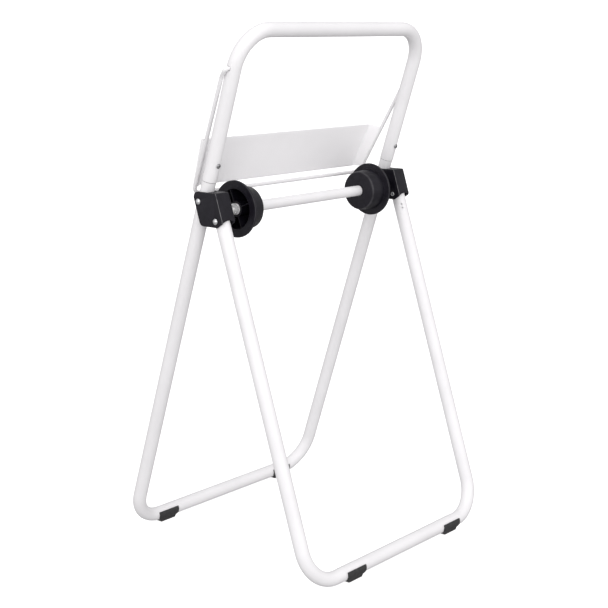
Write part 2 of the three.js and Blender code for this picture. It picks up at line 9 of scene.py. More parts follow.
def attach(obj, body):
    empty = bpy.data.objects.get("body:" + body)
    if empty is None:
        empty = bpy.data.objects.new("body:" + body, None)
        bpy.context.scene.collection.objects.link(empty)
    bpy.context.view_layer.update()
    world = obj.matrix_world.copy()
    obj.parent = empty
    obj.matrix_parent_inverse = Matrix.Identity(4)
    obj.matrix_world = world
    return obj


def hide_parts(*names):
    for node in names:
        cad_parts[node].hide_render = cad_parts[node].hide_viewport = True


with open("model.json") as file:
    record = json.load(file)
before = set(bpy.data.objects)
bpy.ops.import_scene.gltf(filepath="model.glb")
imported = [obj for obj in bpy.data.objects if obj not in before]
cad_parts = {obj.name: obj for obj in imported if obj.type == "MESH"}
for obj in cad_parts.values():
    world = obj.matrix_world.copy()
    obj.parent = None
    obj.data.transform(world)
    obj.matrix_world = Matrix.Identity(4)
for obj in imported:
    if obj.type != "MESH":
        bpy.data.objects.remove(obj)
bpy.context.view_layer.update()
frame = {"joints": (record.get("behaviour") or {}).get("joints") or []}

# ---------------------------------------------------------------------------------------------
# Front legs. One length of 25 mm welded steel tube, bent twice into a U whose base is the
# front floor bar and whose tops are cut square inside the brackets. White powder coat, with two
# drain holes below the right bracket.

joint_places = {joint["name"]: Vector(joint.get("pos_m", (0, 0, 0))) for joint in frame["joints"]}
fold_pivot = joint_places["frame_fold"]
tube_radius = 0.0125
tube_wall = 0.0015
bend_radius = 0.0625
leg_x = 0.236  # middle plane to the centre line of a leg
bar_y = 0.22  # middle plane to the centre line of a floor bar
bar_z = 0.0155
leg_nest = 0.0283  # between the centre lines of two legs when the stand is folded
pivot_from_front_bar = math.hypot(bar_y + fold_pivot.y, fold_pivot.z - bar_z)
front_lean = (math.atan2(bar_y + fold_pivot.y, fold_pivot.z - bar_z)
              - math.asin(leg_nest / pivot_from_front_bar))


def front_point(x, along, ahead):
    """A point by its distance up the front legs and ahead of their centre line."""
    s, c = math.sin(front_lean), math.cos(front_lean)
    return Vector((x, -bar_y + along * s - ahead * c, bar_z + along * c + ahead * s))


def bent_line(corners, bend_steps=26, straight=0.05):
    """Points along straight runs joined by round bends; each corner is (point, bend radius)."""
    points = [corners[0][0].copy()]

    def run_to(target):
        start = points[-1]
        count = max(1, math.ceil((target - start).length / straight))
        points.extend(start.lerp(target, k / count) for k in range(1, count + 1))

    for i in range(1, len(corners) - 1):
        corner, radius = corners[i]
        if radius == 0:
            run_to(corner)
            continue
        into = (corner - corners[i - 1][0]).normalized()
        out = (corners[i + 1][0] - corner).normalized()
        turn = into.angle(out)
        start = corner - into * radius * math.tan(turn / 2)
        inward = (out - into * into.dot(out)).normalized()
        centre = start + inward * radius
        run_to(start)
        steps = max(4, round(bend_steps * turn / (math.pi / 2)))
        for k in range(1, steps + 1):
            angle = turn * k / steps
            points.append(centre + (into * math.sin(angle) - inward * math.cos(angle)) * radius)
    run_to(corners[-1][0])
    return points


def mesh_piece(name, vertices, faces):
    """A closed, smooth-shaded piece with its outside facing out."""
    mesh = bpy.data.meshes.new(name)
    mesh.from_pydata([tuple(v) for v in vertices], [], faces)
    shape = bmesh.new()
    shape.from_mesh(mesh)
    bmesh.ops.remove_doubles(shape, verts=shape.verts, dist=1e-7)
    bmesh.ops.recalc_face_normals(shape, faces=shape.faces)
    shape.to_mesh(mesh)
    shape.free()
    piece = bpy.data.objects.new(name, mesh)
    bpy.context.scene.collection.objects.link(piece)
    smooth(piece)
    return piece


def smooth(piece, angle=34):
    piece.data.polygons.foreach_set("use_smooth", [True] * len(piece.data.polygons))
    piece.data.set_sharp_from_angle(angle=math.radians(angle))


def ring_grid(name, rings, sides, closed):
    """Joins rings of (centre, across, up, radius) into a skin; a radius of 0 is a pole."""
    vertices, faces, starts = [], [], []
    for centre, across, up, radius in rings:
        starts.append((len(vertices), radius > 0))
        if radius > 0:
            for k in range(sides):
                angle = 2 * math.pi * k / sides
                vertices.append(centre + (across * math.cos(angle) + up * math.sin(angle)) * radius)
        else:
            vertices.append(centre.copy())
    pairs = list(zip(starts, starts[1:] + starts[:1] if closed else starts[1:]))
    for (a, a_round), (b, b_round) in pairs:
        for k in range(sides):
            n = (k + 1) % sides
            if a_round and b_round:
                faces.append((a + k, a + n, b + n, b + k))
            elif a_round:
                faces.append((a + k, a + n, b))
            elif b_round:
                faces.append((a, b + n, b + k))
    return mesh_piece(name, vertices, faces)


def tube(name, points, outer, inner=0.0, sides=60, edge=0.00035):
    """A tube, or a rod where inner is 0, along points. Outer and inner may be one per point."""
    count = len(points)
    outers = outer if isinstance(outer, list) else [outer] * count
    inners = inner if isinstance(inner, list) else [inner] * count
    along = [(points[min(i + 1, count - 1)] - points[max(i - 1, 0)]).normalized() for i in range(count)]
    across = along[0].orthogonal().normalized()
    frames = []
    for direction in along:
        across = (across - direction * across.dot(direction)).normalized()
        frames.append((across.copy(), direction.cross(across)))
    first, last = points[0], points[-1]
    rings = [(first, *frames[0], outers[0] - edge), (first + along[0] * edge, *frames[0], outers[0])]
    rings += [(points[i], *frames[i], outers[i]) for i in range(1, count - 1)]
    rings += [(last - along[-1] * edge, *frames[-1], outers[-1]), (last, *frames[-1], outers[-1] - edge)]
    if inners[0] > 0:
        rings += [(points[i], *frames[i], inners[i]) for i in range(count - 1, -1, -1)]
        return ring_grid(name, rings, sides, True)
    return ring_grid(name, [(first, *frames[0], 0)] + rings + [(last, *frames[-1], 0)], sides, False)


def carve(piece, cutter, how="DIFFERENCE"):
    """Cuts, joins or keeps what is common with another solid, which is then removed."""
    step = piece.modifiers.new("carve", "BOOLEAN")
    step.operation = how
    step.object = cutter
    step.solver = "EXACT"
    apply_steps(piece)
    bpy.data.objects.remove(cutter)
    smooth(piece)


def apply_steps(piece):
    graph = bpy.context.evaluated_depsgraph_get()
    done = bpy.data.meshes.new_from_object(piece.evaluated_get(graph))
    piece.modifiers.clear()
    piece.data = done


def drill(piece, start, end, radius):
    carve(piece, tube("drill", [start, end], radius, sides=40, edge=0.00001))


def drill_across(piece, place, radius):
    """A hole along X, right through the leg or bracket at a place."""
    reach = Vector((0.03, 0, 0))
    drill(piece, place - reach, place + reach, radius)


def node_paint(name):
    """A new material: its node tree, its shader, and the place on the piece as a texture input."""
    paint = bpy.data.materials.new(name)
    paint.use_nodes = True
    nodes = paint.node_tree.nodes
    place = nodes.new("ShaderNodeTexCoord").outputs["Object"]
    return paint, paint.node_tree, nodes["Principled BSDF"], place


def noise(tree, place, scale, detail=2.0, roughness=0.5):
    node = tree.nodes.new("ShaderNodeTexNoise")
    node.inputs["Scale"].default_value = scale
    node.inputs["Detail"].default_value = detail
    node.inputs["Roughness"].default_value = roughness
    tree.links.new(place, node.inputs["Vector"])
    return node.outputs["Fac"]


def ramp(tree, value, stops):
    node = tree.nodes.new("ShaderNodeValToRGB")
    while len(node.color_ramp.elements) < len(stops):
        node.color_ramp.elements.new(0.5)
    for element, (position, shade) in zip(node.color_ramp.elements, stops):
        element.position = position
        element.color = (*shade, 1) if isinstance(shade, tuple) else (shade, shade, shade, 1)
    tree.links.new(value, node.inputs["Fac"])
    return node.outputs["Color"]


def bump(tree, shader, height, distance, strength=1.0, under=None):
    node = tree.nodes.new("ShaderNodeBump")
    node.inputs["Strength"].default_value = strength
    node.inputs["Distance"].default_value = distance
    tree.links.new(height, node.inputs["Height"])
    if under:
        tree.links.new(under, node.inputs["Normal"])
    tree.links.new(node.outputs["Normal"], shader.inputs["Normal"])
    return node.outputs["Normal"]


def white_powder_coat(name="white_powder_coat", dull=(0.835, 0.825, 0.835), fresh=(0.875, 0.865, 0.875)):
    """Baked polyester powder: a faint orange peel, a finer grain in it, and a soft shine."""
    paint, tree, shader, place = node_paint(name)
    clean = ramp(tree, noise(tree, place, 16, 3), [(0.3, dull), (0.7, fresh)])
    rub = ramp(tree, noise(tree, place, 55, 6, 0.7), [(0.66, 0.0), (0.78, 0.16)])
    mix = tree.nodes.new("ShaderNodeMix")
    mix.data_type = "RGBA"
    tree.links.new(rub, mix.inputs["Factor"])
    tree.links.new(clean, mix.inputs["A"])
    mix.inputs["B"].default_value = (0.66, 0.65, 0.63, 1)
    tree.links.new(mix.outputs["Result"], shader.inputs["Base Color"])
    tree.links.new(ramp(tree, noise(tree, place, 40, 4), [(0.25, 0.33), (0.75, 0.42)]),
                   shader.inputs["Roughness"])
    shader.inputs["Specular IOR Level"].default_value = 0.5
    shader.inputs["Coat Weight"].default_value = 0.12
    shader.inputs["Coat Roughness"].default_value = 0.2
    peel = bump(tree, shader, noise(tree, place, 520, 1.5, 0.4), 0.00006)
    bump(tree, shader, noise(tree, place, 2300, 2, 0.6), 0.000008, 1.0, peel)
    return paint


powder_white = white_powder_coat()


def fit_piece(piece, paint, slot, body, *nodes):
    """Gives a piece its finish and the body it moves with, and hides the nodes it stands for. The slot is
    not used.
    """
    piece.data.materials.clear()
    piece.data.materials.append(paint)
    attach(piece, body)
    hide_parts(*nodes)


front_reach = 0.6635
front_line = bent_line([
    (front_point(-leg_x, front_reach, 0), 0), (front_point(-leg_x, 0, 0), bend_radius),
    (front_point(leg_x, 0, 0), bend_radius), (front_point(leg_x, front_reach, 0), 0)])
front_legs = tube("front_legs", front_line, tube_radius, tube_radius - tube_wall)
drain_radius = 0.0013
drain_facing = front_point(-0.638, 0, 0.77) - front_point(0, 0, 0)
for along in (0.6005, 0.5935):
    skin = front_point(leg_x, along, 0) + drain_facing * tube_radius
    drill(front_legs, skin - drain_facing * 0.004, skin + drain_facing * 0.002, drain_radius)
rivet_hole_radius = 0.0033
leg_rivet_below = 0.0298
leg_rivet_place = front_point(0, (fold_pivot.z - leg_rivet_below - bar_z) / math.cos(front_lean), 0)
for side in (-1, 1):
    drill_across(front_legs, Vector((side * leg_x, leg_rivet_place.y, leg_rivet_place.z)), rivet_hole_radius)
fit_piece(front_legs, powder_white, "white_powder_coat", "front_stand", "front_leg_frame")

# ---------------------------------------------------------------------------------------------
# Brackets. A black glass-filled nylon channel each side, moulded with a front wall and a half
# roof, and with an open-topped seat for the spindle on its inner face. Riveted to both legs.

gap = 0.0003
bracket_wall = 0.0025
bracket_inside = tube_radius + gap
bracket_outside = bracket_inside + bracket_wall
bracket_face = leg_x - bracket_outside
bracket_above = 0.0163
bracket_top = fold_pivot.z + bracket_above
bracket_bottom = fold_pivot.z - 0.0404
front_wall_bottom = fold_pivot.z - 0.0314
bracket_behind = leg_nest + 0.0092
rear_lean = math.atan2(bar_y - fold_pivot.y, fold_pivot.z - bar_z)
axle_place = joint_places["spindle_spin"]
cradle_reach = 0.015


def front_line_y(ahead, z):
    """Where a line parallel to the front legs, so far ahead of them, is at a height."""
    along = (z - bar_z - ahead * math.sin(front_lean)) / math.cos(front_lean)
    return front_point(0, along, ahead).y


def rounded(corners, radii, steps=6):
    """A flat outline with true arcs at its corners."""
    outline = []
    for i, corner in enumerate(corners):
        here = Vector(corner)
        before = (Vector(corners[i - 1]) - here).normalized()
        after = (Vector(corners[(i + 1) % len(corners)]) - here).normalized()
        if radii[i] == 0:
            outline.append(here)
            continue
        half = before.angle(after) / 2
        middle = here + (before + after).normalized() * radii[i] / math.sin(half)
        start = here + before * radii[i] / math.tan(half) - middle
        end = here + after * radii[i] / math.tan(half) - middle
        turn = start.angle_signed(end)
        for k in range(steps + 1):
            outline.append(middle + Matrix.Rotation(-turn * k / steps, 2) @ start)
    return outline


def prism_x(name, outline, x0, x1, soft=0.0, soft_steps=4):
    """An outline in the (y, z) plane, run along X, with its two rims rounded over."""
    count = len(outline)
    vertices = [(x, p[0], p[1]) for x in (x0, x1) for p in outline]
    faces = [tuple(range(count)), tuple(range(2 * count - 1, count - 1, -1))]
    faces += [(k, (k + 1) % count, count + (k + 1) % count, count + k) for k in range(count)]
    piece = mesh_piece(name, vertices, faces)
    if soft:
        shape = bmesh.new()
        shape.from_mesh(piece.data)
        rims = [e for e in shape.edges if abs(e.verts[0].co.x - e.verts[1].co.x) < 1e-9]
        bmesh.ops.bevel(shape, geom=rims, offset=soft, segments=soft_steps, profile=0.5, affect="EDGES")
        shape.to_mesh(piece.data)
        shape.free()
        smooth(piece)
    return piece


def soften(piece, width, steps=2, angle=40):
    """Breaks every sharp edge by a small round, as a mould or a deburring wheel leaves it."""
    step = piece.modifiers.new("soften", "BEVEL")
    step.width = width
    step.segments = steps
    step.limit_method = "ANGLE"
    step.angle_limit = math.radians(angle)
    step.use_clamp_overlap = True
    apply_steps(piece)
    smooth(piece)


def black_moulding(name="black_moulding", dark=(0.0052, 0.0044, 0.0085), pale=(0.0112, 0.0100, 0.0158)):
    """Spark-eroded nylon: a fine even grain and a slightly uneven shine."""
    paint, tree, shader, place = node_paint(name)
    base = ramp(tree, noise(tree, place, 90, 4, 0.6), [(0.3, dark), (0.75, pale)])
    tree.links.new(base, shader.inputs["Base Color"])
    tree.links.new(ramp(tree, noise(tree, place, 160, 5, 0.65), [(0.3, 0.32), (0.7, 0.44)]),
                   shader.inputs["Roughness"])
    shader.inputs["Specular IOR Level"].default_value = 0.26
    grain = tree.nodes.new("ShaderNodeTexVoronoi")
    grain.inputs["Scale"].default_value = 1500
    tree.links.new(place, grain.inputs["Vector"])
    pits = bump(tree, shader, grain.outputs["Distance"], 0.00005, 0.7)
    bump(tree, shader, noise(tree, place, 3200, 2, 0.6), 0.00002, 0.7, pits)
    return paint


black_nylon = black_moulding()
# A pale grey copy of the moulding: a painted highlight for the rounded edges of the brackets' front walls.
edge_highlight_nylon = black_moulding("painted_edge_highlight", (0.06, 0.059, 0.064), (0.26, 0.255, 0.26))


def bracket(side, name):
    ahead = bracket_outside
    outline = rounded([
        (front_line_y(ahead, bracket_top), bracket_top),
        (front_line_y(-bracket_behind, bracket_top), bracket_top),
        (front_line_y(-bracket_behind, bracket_bottom), bracket_bottom),
        (front_line_y(0, bracket_bottom), bracket_bottom),
        (front_line_y(ahead, front_wall_bottom), front_wall_bottom),
    ], [0.002, 0.009, 0.009, 0.004, 0.005])
    centre = side * leg_x
    piece = prism_x(name, outline, centre - bracket_outside, centre + bracket_outside, 0.0011)
    inside = bracket_inside
    roof = bracket_top - bracket_wall
    deep = 0.12
    channel = rounded([
        (front_line_y(inside, roof), roof), (front_line_y(inside, roof) + deep, roof),
        (front_line_y(inside, roof) + deep, bracket_bottom - deep),
        (front_line_y(inside, bracket_bottom - deep), bracket_bottom - deep),
    ], [0.001, 0, 0, 0])
    carve(piece, prism_x("channel", channel, centre - inside, centre + inside))
    roof_edge = (fold_pivot.y - bracket_above * math.tan(rear_lean)
                 - (tube_radius + 2 * gap) / math.cos(rear_lean))
    slot = [(roof_edge, roof - 0.001), (roof_edge, bracket_top + 0.001),
            (roof_edge + deep, bracket_top + 0.001), (roof_edge + deep, roof - 0.001)]
    carve(piece, prism_x("roof_slot", slot, centre - inside, centre + inside))
    rise = 0.0035
    radius = (inside ** 2 + rise ** 2) / 2 / rise
    low = front_wall_bottom + rise - radius
    arch = tube("arch", [Vector((centre, front_line_y(ahead, front_wall_bottom) - 0.005, low)),
                         Vector((centre, front_line_y(0, front_wall_bottom), low))],
                radius, sides=160, edge=0.00001)
    keep = [(front_line_y(ahead + 0.009, bracket_bottom), bracket_bottom - 0.001),
            (front_line_y(0, bracket_bottom), bracket_bottom - 0.001),
            (front_line_y(0, front_wall_bottom), front_wall_bottom + 2 * rise),
            (front_line_y(ahead + 0.009, front_wall_bottom), front_wall_bottom + 2 * rise)]
    carve(arch, prism_x("arch_part", keep, centre - inside, centre + inside), "INTERSECT")
    carve(piece, arch)
    for place in (fold_pivot, leg_rivet_place):
        drill_across(piece, Vector((centre, place.y, place.z)), rivet_hole_radius)
    soften(piece, 0.0003)
    carve(piece, spindle_seat(side), "UNION")
    return piece


def paint_edge_highlights(piece, side):
    """The two long edges of the front wall, painted pale grey: a painted highlight along their rounds."""
    piece.data.materials.append(edge_highlight_nylon)
    wall_normal = front_point(0, 0, 1) - front_point(0, 0, 0)
    for face in piece.data.polygons:
        sideways, forwards = abs(face.normal.x), face.normal.dot(wall_normal)
        at_wall = abs(abs(face.center.x - side * leg_x) - bracket_outside) < 0.0013
        if at_wall and 0.38 < sideways < 0.93 and 0.38 < forwards < 0.93:
            face.material_index = 1


bush_radius = 0.007
seat_slot = bush_radius + gap


def spindle_seat(side):
    """The U-shaped seat on a bracket's inner face, with a lead-in at its mouth."""
    wall, arm, nose, lead, lead_drop = 0.003, 0.012, 0.001, 0.0008, 0.0014
    outer = seat_slot + wall
    y, z = axle_place.y, axle_place.z
    outline = [Vector((y + outer, z + arm - nose)), Vector((y + outer - nose, z + arm)),
               Vector((y + seat_slot + lead, z + arm)), Vector((y + seat_slot, z + arm - lead_drop))]
    outline += [Vector((y + seat_slot * math.cos(a), z - seat_slot * math.sin(a)))
                for a in (math.pi * k / 24 for k in range(25))]
    outline += [Vector((y - seat_slot, z + arm - lead_drop)), Vector((y - seat_slot - lead, z + arm)),
                Vector((y - outer + nose, z + arm)), Vector((y - outer, z + arm - nose))]
    outline += [Vector((y - outer * math.cos(a), z - outer * math.sin(a)))
                for a in (math.pi * k / 28 for k in range(29))]
    x0, x1 = sorted((side * (bracket_face - cradle_reach), side * (bracket_face + 0.001)))
    return prism_x("spindle_seat", outline, x0, x1, 0.0004, 2)


for side, word in ((-1, "left"), (1, "right")):
    piece = bracket(side, f"bracket_moulding_{word}")
    fit_piece(piece, black_nylon, "black_moulding", "front_stand", f"bracket_{word}")
    paint_edge_highlights(piece, side)

# ---------------------------------------------------------------------------------------------
# Rivets. Semi-tubular steel, bright zinc plated: a smooth domed head outside each bracket, and
# a hollow end rolled over inside. The upper pair are what the rear legs turn on.


def plated_steel(name, dark, pale, metal):
    """Clear-passivated zinc: a cool shine broken up by a faint bloom and handling marks."""
    paint, tree, shader, place = node_paint(name)
    tint = ramp(tree, noise(tree, place, 220, 3, 0.6), [(0.3, dark), (0.7, pale)])
    tree.links.new(tint, shader.inputs["Base Color"])
    shader.inputs["Metallic"].default_value = metal
    tree.links.new(ramp(tree, noise(tree, place, 650, 4, 0.65), [(0.3, 0.2), (0.75, 0.38)]),
                   shader.inputs["Roughness"])
    bump(tree, shader, noise(tree, place, 1800, 3, 0.6), 0.00002, 0.6)
    return paint


zinc = plated_steel("bright_zinc", (0.56, 0.57, 0.59), (0.68, 0.68, 0.68), 1.0)


def turned(name, profile, place, start, side, closed=False, segments=64):
    """A turned piece along X. Profile is (radius, distance outwards from |x| = start)."""
    across, up = Vector((0, 1, 0)), Vector((0, 0, 1))
    rings = [(Vector((side * (start + distance), place.y, place.z)), across, up, radius)
             for radius, distance in profile]
    return ring_grid(name, rings, segments, closed)


def arc(centre_r, centre_d, radius, from_deg, to_deg, steps=6):
    """Profile points on an arc; 0 degrees points to a larger radius, 90 degrees outwards."""
    angles = [math.radians(from_deg + (to_deg - from_deg) * k / steps) for k in range(steps + 1)]
    return [(centre_r + radius * math.cos(a), centre_d + radius * math.sin(a)) for a in angles]


rivet_roll = 0.0016
rivet_tip = bracket_face - gap - rivet_roll
rivet_length = leg_x + bracket_outside + gap - rivet_tip
head_radius, head_height, head_rim = 0.00525, 0.0036, 0.0005
dome = (head_radius ** 2 + (head_height - head_rim) ** 2) / 2 / (head_height - head_rim)
dome_edge = math.degrees(math.asin((dome - head_height + head_rim) / dome))
rivet_profile = [(0, 0.006), (0.0012, 0.006), (0.00175, 0.0054), (0.00175, 0.0010)]
rivet_profile += arc(0.00275, 0.0010, 0.0010, 180, 270, 5) + arc(0.0030, 0.0010, 0.0010, 270, 380, 8)
rivet_profile += [(0.0030, rivet_roll), (0.0030, rivet_length), (head_radius - 0.0002, rivet_length),
                  (head_radius, rivet_length + 0.0002), (head_radius, rivet_length + head_rim)]
rivet_profile += arc(0, rivet_length + head_height - dome, dome, dome_edge, 90, 12)[1:-1]
rivet_profile += [(0, rivet_length + head_height)]
for side, word in ((-1, "left"), (1, "right")):
    for place, use in ((fold_pivot, "pivot"), (leg_rivet_place, "leg")):
        piece = turned(f"{use}_rivet_head_{word}", rivet_profile, place, rivet_tip, side)
        fit_piece(piece, zinc, "zinc_plate", "front_stand", f"{use}_rivet_{word}")

# ---------------------------------------------------------------------------------------------
# Rear legs. The same tube bent to a matching U. Each leg is swaged down just above the bracket
# and goes up into the handle as a spigot.

rear_reach = (fold_pivot.z - bar_z) / math.cos(rear_lean)


def rear_point(x, along, behind):
    """A point by its distance up the rear legs and behind their centre line."""
    s, c = math.sin(rear_lean), math.cos(rear_lean)
    return Vector((x, bar_y - along * s + behind * c, bar_z + along * c + behind * s))


seam = 0.036
neck_radius = tube_radius - 0.0006
spigot_radius = tube_radius - tube_wall - gap
bore = spigot_radius - tube_wall
swage_start = 0.0095
swage = [(0.084, spigot_radius), (seam + 0.0001, spigot_radius),
         (seam - 0.0005, neck_radius), (0.0145, neck_radius), (0.0132, neck_radius + 0.00006),
         (0.0120, neck_radius + 0.0003), (0.0108, tube_radius - 0.00006)]
rear_line, rear_outer, rear_inner = [], [], []
lower = bent_line([
    (rear_point(-leg_x, rear_reach + swage_start, 0), 0), (rear_point(-leg_x, 0, 0), bend_radius),
    (rear_point(leg_x, 0, 0), bend_radius), (rear_point(leg_x, rear_reach + swage_start, 0), 0)])
for height, radius in swage:
    rear_line.append(rear_point(-leg_x, rear_reach + height, 0))
    rear_outer.append(radius)
    rear_inner.append(bore)
for point in lower:
    rear_line.append(point)
    rear_outer.append(tube_radius)
    rear_inner.append(tube_radius - tube_wall)
for height, radius in reversed(swage):
    rear_line.append(rear_point(leg_x, rear_reach + height, 0))
    rear_outer.append(radius)
    rear_inner.append(bore)
rear_legs = tube("rear_legs", rear_line, rear_outer, rear_inner)
handle_screw_reach = rear_reach + 0.0667


def drill_for_screw(piece, side):
    """The handle screw's hole, through the front of handle and spigot only."""
    drill(piece, rear_point(side * leg_x, handle_screw_reach, -0.03),
          rear_point(side * leg_x, handle_screw_reach, 0), 0.0023)


for side in (-1, 1):
    drill_across(rear_legs, Vector((side * leg_x, fold_pivot.y, fold_pivot.z)), rivet_hole_radius)
    drill_for_screw(rear_legs, side)
fit_piece(rear_legs, powder_white, "white_powder_coat", "rear_frame", "rear_leg_frame")


def bare_steel_and_seam_shade():
    """Drawn tube left uncoated where the spigot slides: dark, oily and finely streaked. Where it shows, in
    the groove under the handle's end, its dark band is also painted shade.
    """
    paint, tree, shader, place = node_paint("bare_steel_and_seam_shade")
    tint = ramp(tree, noise(tree, place, 300, 4, 0.7),
                [(0.3, (0.10, 0.10, 0.10)), (0.8, (0.22, 0.215, 0.21))])
    tree.links.new(tint, shader.inputs["Base Color"])
    shader.inputs["Metallic"].default_value = 0.9
    shader.inputs["Roughness"].default_value = 0.45
    bump(tree, shader, noise(tree, place, 900, 3, 0.6), 0.00001)
    return paint


# From just under the seam upwards: the uncoated spigot, hidden in the handle, and a thin band in the groove
# under the handle's end, darkened as painted shade.
rear_legs.data.materials.append(bare_steel_and_seam_shade())
up_leg = rear_point(0, 1, 0) - rear_point(0, 0, 0)
for face in rear_legs.data.polygons:
    if (face.center - rear_point(0, 0, 0)).dot(up_leg) > rear_reach + seam - 0.0006:
        face.material_index = 1

# ---------------------------------------------------------------------------------------------
# Handle. A third bend of the same tube, slid over the rear legs' spigots. A hole through each
# outer wall takes the hooked end of the wire bail.

hook_place = joint_places["bail_swing"]
handle_reach = rear_reach + 0.292
hook_reach = handle_reach - 0.063
wire_radius = 0.0035
hook_hole_gap = 0.0007
handle_line = bent_line([
    (rear_point(-leg_x, rear_reach + seam, 0), 0), (rear_point(-leg_x, handle_reach, 0), bend_radius),
    (rear_point(leg_x, handle_reach, 0), bend_radius), (rear_point(leg_x, rear_reach + seam, 0), 0)])
handle_bend = tube("handle_bend", handle_line, tube_radius, tube_radius - tube_wall, edge=0.0005)
for side in (-1, 1):
    here = Vector((side * leg_x, hook_place.y, hook_place.z))
    drill(handle_bend, here, here + Vector((side * 0.03, 0, 0)), wire_radius + hook_hole_gap)
    drill_for_screw(handle_bend, side)
fit_piece(handle_bend, powder_white, "white_powder_coat", "rear_frame", "handle")

# ---------------------------------------------------------------------------------------------
# Handle screws. One zinc-plated pan-head screw each side, driven from the front through handle
# and spigot, with a plain cross recess.


# A darker copy of the zinc plating for the screw heads: painted shade that makes them read dark on the white
# handle.
shaded_zinc = plated_steel("shaded_zinc", (0.30, 0.30, 0.31), (0.46, 0.46, 0.46), 1.0)


def handle_screw(side, name):
    shank, head, height, length = 0.002, 0.0042, 0.0024, 0.008
    seat = rear_point(side * leg_x, handle_screw_reach, -tube_radius - gap)
    out = (rear_point(0, 0, -1) - rear_point(0, 0, 0)).normalized()
    across = Vector((1, 0, 0))
    up = out.cross(across)
    profile = [(0, -length), (0.0006, -length), (shank, -length + 0.0022), (shank, 0), (head - 0.0002, 0),
               (head, 0.0002), (head, 0.0007)]
    dome_points = [(head * math.cos(a) ** 0.8, 0.0007 + (height - 0.0007) * math.sin(a))
                   for a in (math.radians(10 * k) for k in range(1, 9))]
    profile += dome_points + [(0, height)]
    rings = [(seat + out * distance, across, up, radius) for radius, distance in profile]
    piece = ring_grid(name, rings, 48, False)
    for turn in (30, 120):
        a = math.radians(turn)
        u = across * math.cos(a) + up * math.sin(a)
        v = -across * math.sin(a) + up * math.cos(a)
        long, thin, deep = 0.0026, 0.00055, 0.0015
        corners = [seat + out * (height + 0.0004) + u * x + v * y
                   for x, y in ((-long, -thin), (long, -thin), (long, thin), (-long, thin))]
        corners += [seat + out * (height - deep) + u * x + v * y
                    for x, y in ((-0.4 * long, -0.6 * thin), (0.4 * long, -0.6 * thin),
                                 (0.4 * long, 0.6 * thin), (-0.4 * long, 0.6 * thin))]
        faces = [(0, 1, 2, 3), (7, 6, 5, 4), (0, 4, 5, 1), (1, 5, 6, 2), (2, 6, 7, 3), (3, 7, 4, 0)]
        carve(piece, mesh_piece("recess", corners, faces))
    return piece


for side, word in ((-1, "left"), (1, "right")):
    piece = handle_screw(side, f"handle_screw_head_{word}")
    fit_piece(piece, shaded_zinc, "zinc_plate", "rear_frame", f"handle_screw_{word}")

# ---------------------------------------------------------------------------------------------
# Bail. One length of 7 mm round wire, powder coated: hooked into the handle at both ends,
# jogged clear of the tube, and bent square at the bottom to make the cross rod.

jog_drop, jog_behind = 0.0175, 0.0106
rod_drop, rod_behind = 0.235, 0.043
jog_x = leg_x + tube_radius + 0.0005
bail_x = leg_x - 0.015
hook_x = leg_x + tube_radius + 0.007


def arm_point(side, drop):
    """A point on the straight arm of the bail, by its drop below the hook hole."""
    t = (drop - jog_drop) / (rod_drop - jog_drop)
    behind = jog_behind + t * (rod_behind - jog_behind)
    return rear_point(side * (jog_x + t * (bail_x - jog_x)), hook_reach - drop, behind)


def bail_half(side):
    return [(rear_point(side * (leg_x + tube_radius - 0.014), hook_reach, 0), 0),
            (rear_point(side * hook_x, hook_reach, 0), 0.005),
            (arm_point(side, jog_drop), 0.014), (arm_point(side, rod_drop), 0.014)]


bail_line = bent_line(bail_half(-1) + bail_half(1)[::-1], bend_steps=14, straight=0.03)
bail_wire = tube("bail_wire", bail_line, wire_radius, sides=36, edge=0.0005)
fit_piece(bail_wire, powder_white, "white_powder_coat", "bail", "tear_bail")

# ---------------------------------------------------------------------------------------------
# Tear plate. A strip of 1.2 mm steel sheet with both ends folded forward, tacked to the inner
# side of the bail's arms. Its lower edge, just above the cross rod, is what the paper tears on.

plate_thickness = 0.0012
flange_top_drop, flange_low_drop = 0.138, 0.222


def fold_line(side):
    """The bottom and top of the fold between the plate's face and one of its flanges."""
    low = rear_point(side * (leg_x - 0.024), hook_reach - 0.2285, 0.057)
    top = rear_point(side * (leg_x - 0.0134), hook_reach - 0.141, 0.051)
    return low, top


def plate_flange(side):
    """The flange's edge beside the wire, bottom and top, brought into the flange's plane."""
    low, top = fold_line(side)
    down = low - top
    inward = (arm_point(side, flange_top_drop) - top).cross(down).normalized()
    inward *= -math.copysign(1, inward.x) * side * (wire_radius + gap + plate_thickness / 2)
    edge_top, edge_low = (arm_point(side, drop) + inward for drop in (flange_top_drop, flange_low_drop))
    normal = (edge_top - top).cross(down).normalized()
    return edge_low - normal * (edge_low - top).dot(normal), edge_top


